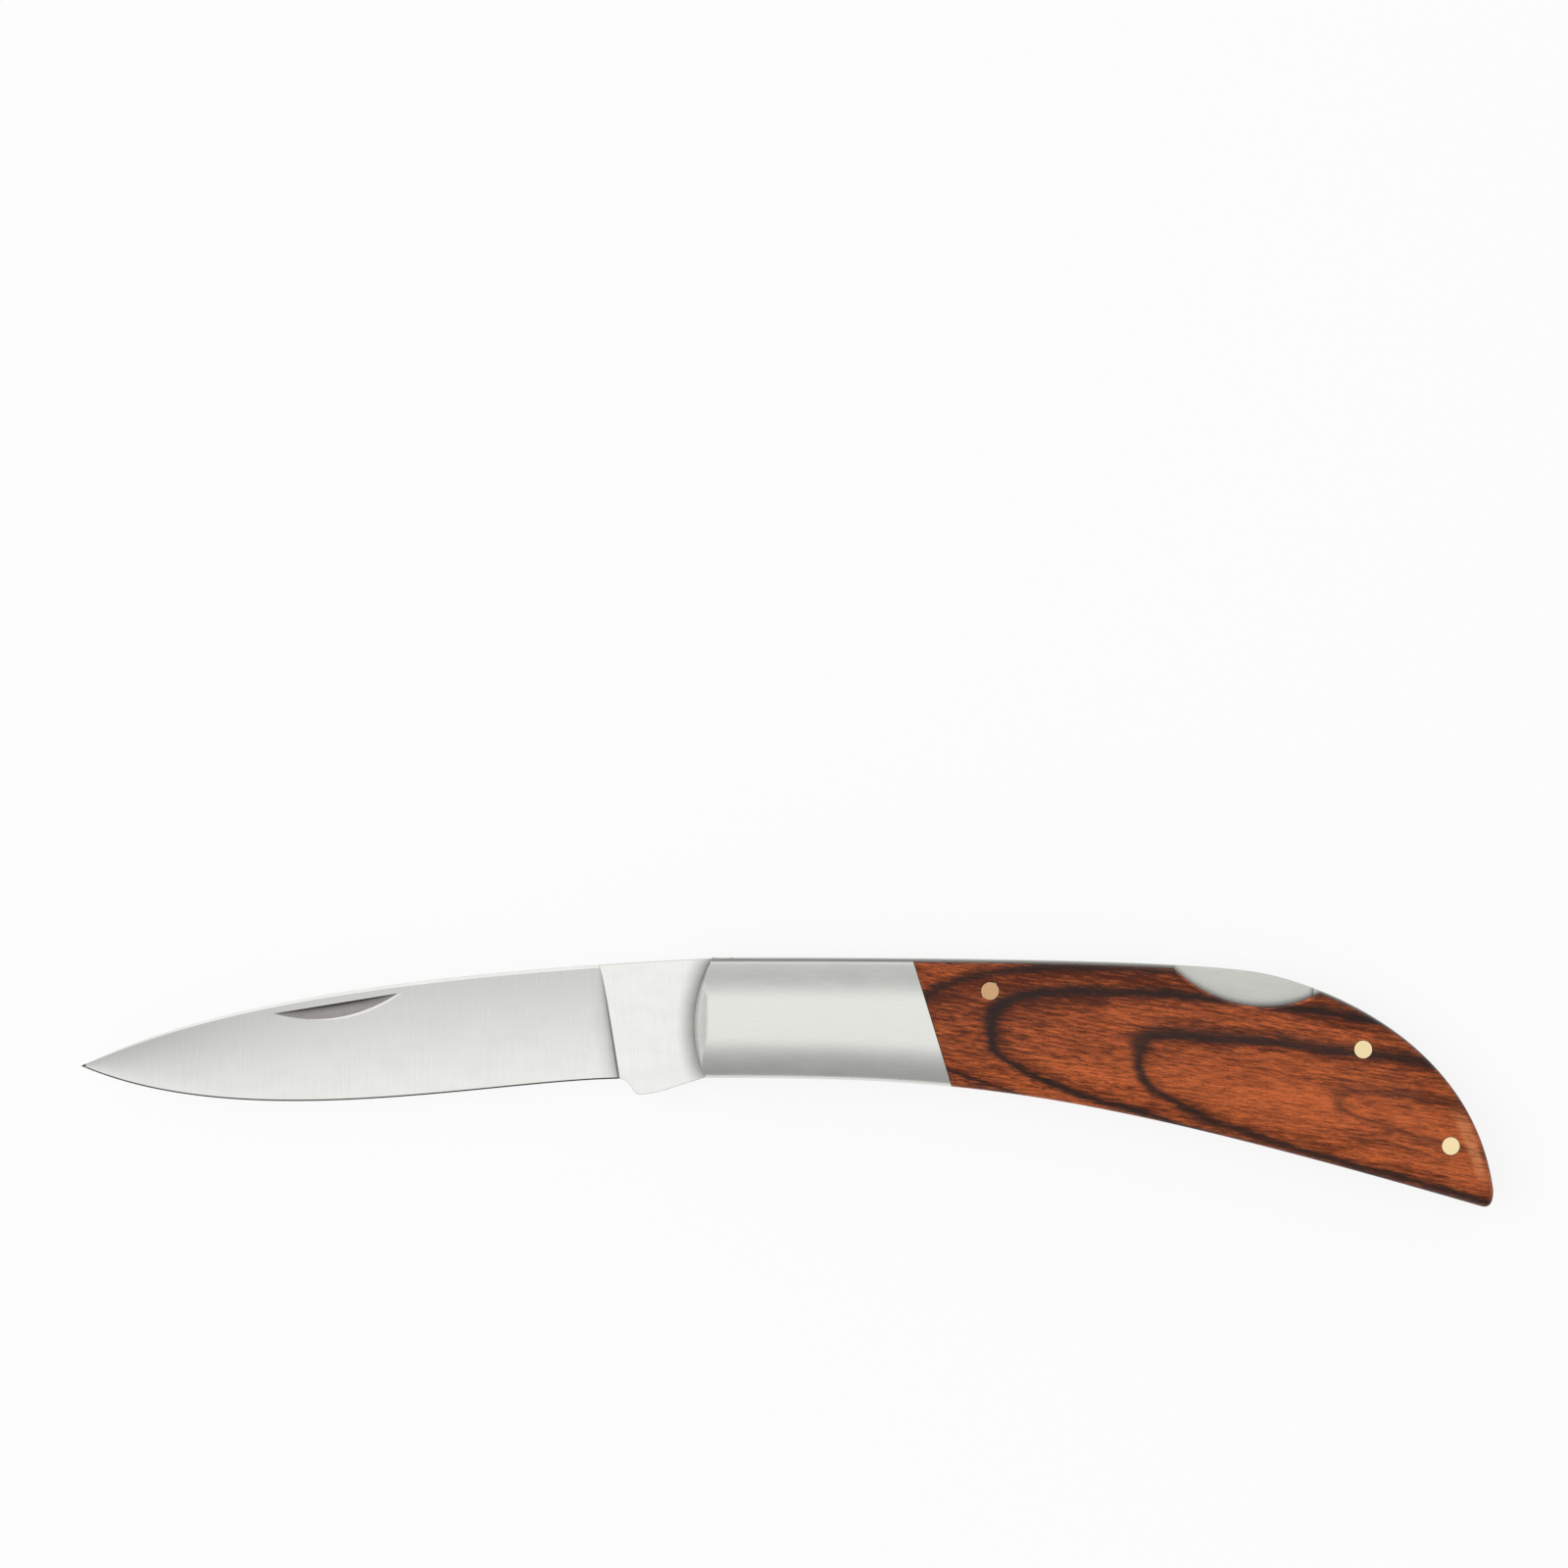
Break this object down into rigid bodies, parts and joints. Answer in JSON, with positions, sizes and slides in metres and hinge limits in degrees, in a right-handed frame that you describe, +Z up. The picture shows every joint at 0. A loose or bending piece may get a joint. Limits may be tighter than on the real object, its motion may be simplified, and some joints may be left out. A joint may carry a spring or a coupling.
{
  "type": "folding pocket knife",
  "caption": "Folding lock-back pocket knife with a nail-nick blade, crowned steel bolsters, wood scales and a rocking back lock.",
  "frame": {"origin": "the blade's pivot axis where it meets the surface that the knife lies on, at the end face of the pivot pin", "axes": "+X from the pivot to the butt, -X to the blade's point, +Y to the back of the handle, +Z up through the thickness"},
  "size_m": [0.1732, 0.0305, 0.0105],
  "materials": {
    "blade_steel": "satin, brushed across the blade",
    "bolster_steel": "satin, crowned",
    "frame_steel": "brushed along the edge",
    "spring_steel": "blank",
    "scale_wood": "resin-filled laminated wood, polished",
    "copper_pin": "polished copper colour",
    "brass_pin": "polished pale brass",
    "washer_bronze": "plain bronze sheet"
  },
  "bodies": {
    "handle": {"pivot_pin": "bolster_steel", "left_washer": "washer_bronze", "right_washer": "washer_bronze", "left_liner": "frame_steel", "right_liner": "frame_steel", "left_bolster": "bolster_steel", "right_bolster": "bolster_steel", "left_front_rivet": "bolster_steel", "left_rear_rivet": "bolster_steel", "right_front_rivet": "bolster_steel", "right_rear_rivet": "bolster_steel", "left_scale": "scale_wood", "right_scale": "scale_wood", "lock_spring": "spring_steel", "back_spacer": "frame_steel", "rocker_pin": "copper_pin", "spine_pin": "brass_pin", "butt_pin": "brass_pin"},
    "blade": {"blade": "blade_steel"},
    "lock_bar": {"lock_bar": "frame_steel"}
  },
  "joints": [
    {"name": "blade_fold", "type": "hinge", "parent": "handle", "child": "blade", "pos_m": [0, 0, 0.00525], "axis": [0, 0, 1], "range_deg": [0, 169]},
    {"name": "lock_rock", "type": "hinge", "parent": "handle", "child": "lock_bar", "pos_m": [0.03024, 0.00492, 0.00525], "axis": [0, 0, 1], "range_deg": [-3, 1.7], "stiffness_Nm_per_rad": 3, "springref_deg": 3.44, "deforming": ["lock_spring"]}
  ]
}
